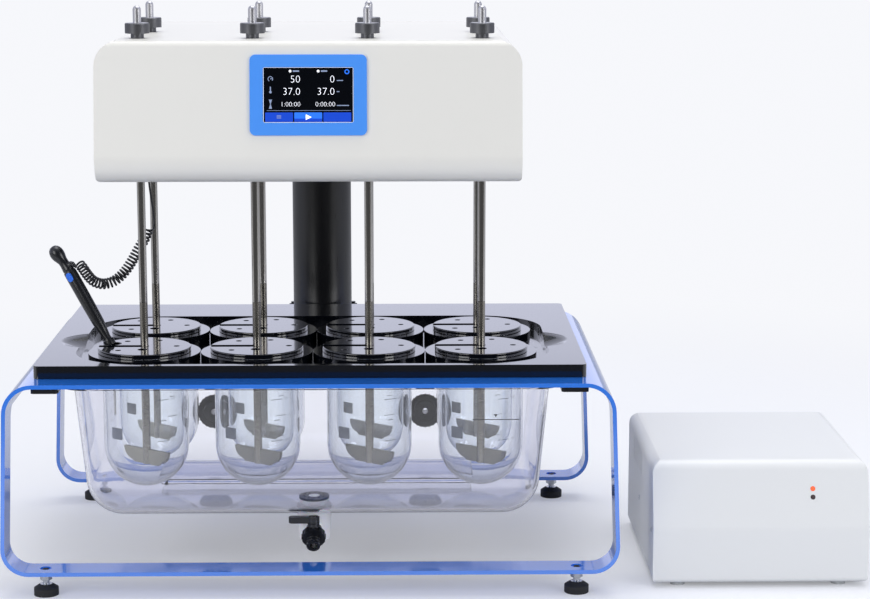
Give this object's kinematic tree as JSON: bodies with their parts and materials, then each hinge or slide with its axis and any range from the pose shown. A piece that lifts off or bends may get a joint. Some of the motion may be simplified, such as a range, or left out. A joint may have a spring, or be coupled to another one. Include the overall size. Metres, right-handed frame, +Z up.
{
  "type": "dissolution tester",
  "caption": "Paddle dissolution tester: clear water bath and round bottomed glass vessels on a bent blue stand, lift-up drive head with display, and a heater box.",
  "frame": {"origin": "on the bench, under the middle of the whole set's box", "axes": "+Z up, +X to the right along the rows of vessels, the front faces -Y"},
  "size_m": [1.06, 0.557, 0.709],
  "materials": {
    "frame_blue": "gloss powder coat",
    "foot_black": "moulded, with a steel stud",
    "rail_black": "machined",
    "bath_clear": "clear moulded",
    "fitting_black": "moulded",
    "plate_black": "polished",
    "vessel_glass": "clear with grey graduations",
    "lid_black": "polished",
    "paddle_steel": "ground",
    "spindle_steel": "ground",
    "head_white": "fine satin paint",
    "chassis_aluminium": "milled",
    "bearing_steel": "ground",
    "bezel_blue": "satin moulded",
    "screen_glass": "glass over a lit display",
    "motor_black": "satin",
    "pulley_aluminium": "anodised",
    "belt_rubber": "toothed inside",
    "column_black": "satin powder coat",
    "lift_steel": "hard chromed",
    "actuator_grey": "anodised",
    "wand_black": "fine texture",
    "button_blue": "satin",
    "cord_black": "satin jacket",
    "heater_white": "fine satin paint",
    "heater_grey": "moulded",
    "unit_steel": "drawn"
  },
  "bodies": {
    "root": {"frame_stand": "frame_blue", "bath_rails": "rail_black", "water_bath": "bath_clear", "bath_ports": "fitting_black", "drain_valve": "fitting_black", "vessel_plate": "plate_black", "vessel_1": "vessel_glass", "vessel_2": "vessel_glass", "vessel_3": "vessel_glass", "vessel_4": "vessel_glass", "vessel_5": "vessel_glass", "vessel_6": "vessel_glass", "vessel_7": "vessel_glass", "vessel_8": "vessel_glass", "column_tube": "column_black", "lift_actuator": "actuator_grey", "probe_wand": "wand_black", "probe_cord": "cord_black", "heater_case": "heater_white", "heater_base": "heater_grey", "heater_unit": "unit_steel"},
    "head": {"head_cover": "head_white", "head_chassis": "chassis_aluminium", "spindle_bearings": "bearing_steel", "display_bezel": "bezel_blue", "touchscreen": "screen_glass", "drive_motor": "motor_black", "drive_belt": "belt_rubber", "lift_column": "lift_steel"},
    "motor_pulley": {"motor_pulley": "pulley_aluminium"},
    "drain_lever": {"drain_lever": "fitting_black"},
    "probe_button": {"probe_button": "button_blue"},
    "spindle_1": {"spindle_1": "spindle_steel", "paddle_1": "paddle_steel"},
    "lid_1": {"lid_1": "lid_black"},
    "spindle_2": {"spindle_2": "spindle_steel", "paddle_2": "paddle_steel"},
    "lid_2": {"lid_2": "lid_black"},
    "spindle_3": {"spindle_3": "spindle_steel", "paddle_3": "paddle_steel"},
    "lid_3": {"lid_3": "lid_black"},
    "spindle_4": {"spindle_4": "spindle_steel", "paddle_4": "paddle_steel"},
    "lid_4": {"lid_4": "lid_black"},
    "spindle_5": {"spindle_5": "spindle_steel", "paddle_5": "paddle_steel"},
    "lid_5": {"lid_5": "lid_black"},
    "spindle_6": {"spindle_6": "spindle_steel", "paddle_6": "paddle_steel"},
    "lid_6": {"lid_6": "lid_black"},
    "spindle_7": {"spindle_7": "spindle_steel", "paddle_7": "paddle_steel"},
    "lid_7": {"lid_7": "lid_black"},
    "spindle_8": {"spindle_8": "spindle_steel", "paddle_8": "paddle_steel"},
    "lid_8": {"lid_8": "lid_black"},
    "foot_1": {"foot_1": "foot_black"},
    "foot_2": {"foot_2": "foot_black"},
    "foot_3": {"foot_3": "foot_black"},
    "foot_4": {"foot_4": "foot_black"}
  },
  "joints": [
    {"name": "head_lift", "type": "slide", "parent": "root", "child": "head", "axis": [0, 0, 1], "range_m": [0, 0.2], "deforming": ["probe_cord"]},
    {"name": "spindle_1_spin", "type": "hinge", "parent": "head", "child": "spindle_1", "pos_m": [-0.365, -0.151, 0.4995], "axis": [0, 0, 1], "continuous": true},
    {"name": "spindle_2_spin", "type": "hinge", "parent": "head", "child": "spindle_2", "pos_m": [-0.225, -0.151, 0.4995], "axis": [0, 0, 1], "continuous": true},
    {"name": "spindle_3_spin", "type": "hinge", "parent": "head", "child": "spindle_3", "pos_m": [-0.085, -0.151, 0.4995], "axis": [0, 0, 1], "continuous": true},
    {"name": "spindle_4_spin", "type": "hinge", "parent": "head", "child": "spindle_4", "pos_m": [0.055, -0.151, 0.4995], "axis": [0, 0, 1], "continuous": true},
    {"name": "spindle_5_spin", "type": "hinge", "parent": "head", "child": "spindle_5", "pos_m": [-0.365, -0.011, 0.4995], "axis": [0, 0, 1], "continuous": true},
    {"name": "spindle_6_spin", "type": "hinge", "parent": "head", "child": "spindle_6", "pos_m": [-0.225, -0.011, 0.4995], "axis": [0, 0, 1], "continuous": true},
    {"name": "spindle_7_spin", "type": "hinge", "parent": "head", "child": "spindle_7", "pos_m": [-0.085, -0.011, 0.4995], "axis": [0, 0, 1], "continuous": true},
    {"name": "spindle_8_spin", "type": "hinge", "parent": "head", "child": "spindle_8", "pos_m": [0.055, -0.011, 0.4995], "axis": [0, 0, 1], "continuous": true},
    {"name": "motor_spin", "type": "hinge", "parent": "head", "child": "motor_pulley", "pos_m": [-0.155, -0.011, 0.56], "axis": [0, 0, 1], "continuous": true},
    {"name": "lid_1_lift", "type": "slide", "parent": "head", "child": "lid_1", "axis": [0, 0, 1], "range_m": [0, 0.19]},
    {"name": "lid_2_lift", "type": "slide", "parent": "head", "child": "lid_2", "axis": [0, 0, 1], "range_m": [0, 0.19]},
    {"name": "lid_3_lift", "type": "slide", "parent": "head", "child": "lid_3", "axis": [0, 0, 1], "range_m": [0, 0.19]},
    {"name": "lid_4_lift", "type": "slide", "parent": "head", "child": "lid_4", "axis": [0, 0, 1], "range_m": [0, 0.19]},
    {"name": "lid_5_lift", "type": "slide", "parent": "head", "child": "lid_5", "axis": [0, 0, 1], "range_m": [0, 0.19]},
    {"name": "lid_6_lift", "type": "slide", "parent": "head", "child": "lid_6", "axis": [0, 0, 1], "range_m": [0, 0.19]},
    {"name": "lid_7_lift", "type": "slide", "parent": "head", "child": "lid_7", "axis": [0, 0, 1], "range_m": [0, 0.19]},
    {"name": "lid_8_lift", "type": "slide", "parent": "head", "child": "lid_8", "axis": [0, 0, 1], "range_m": [0, 0.19]},
    {"name": "drain_lever_turn", "type": "hinge", "parent": "root", "child": "drain_lever", "pos_m": [-0.155, -0.189, 0.0692], "axis": [0, 0, 1], "range_deg": [0, 90]},
    {"name": "probe_button_press", "type": "slide", "parent": "root", "child": "probe_button", "axis": [0.3344, 0.9424, 0], "range_m": [0, 0.001], "stiffness_N_per_m": 200},
    {"name": "foot_1_turn", "type": "hinge", "parent": "root", "child": "foot_1", "pos_m": [-0.479, -0.258, 0.019], "axis": [0, 0, 1], "range_deg": [-180, 180]},
    {"name": "foot_2_turn", "type": "hinge", "parent": "root", "child": "foot_2", "pos_m": [0.169, -0.258, 0.019], "axis": [0, 0, 1], "range_deg": [-180, 180]},
    {"name": "foot_3_turn", "type": "hinge", "parent": "root", "child": "foot_3", "pos_m": [0.169, 0.19, 0.019], "axis": [0, 0, 1], "range_deg": [-180, 180]},
    {"name": "foot_4_turn", "type": "hinge", "parent": "root", "child": "foot_4", "pos_m": [-0.479, 0.19, 0.019], "axis": [0, 0, 1], "range_deg": [-180, 180]}
  ],
  "couplings": [
    {"joint": "spindle_2_spin", "follows": "spindle_1_spin", "ratio": 1},
    {"joint": "spindle_3_spin", "follows": "spindle_1_spin", "ratio": 1},
    {"joint": "spindle_4_spin", "follows": "spindle_1_spin", "ratio": 1},
    {"joint": "spindle_5_spin", "follows": "spindle_1_spin", "ratio": 1},
    {"joint": "spindle_6_spin", "follows": "spindle_1_spin", "ratio": 1},
    {"joint": "spindle_7_spin", "follows": "spindle_1_spin", "ratio": 1},
    {"joint": "spindle_8_spin", "follows": "spindle_1_spin", "ratio": 1},
    {"joint": "motor_spin", "follows": "spindle_1_spin", "ratio": 1}
  ]
}
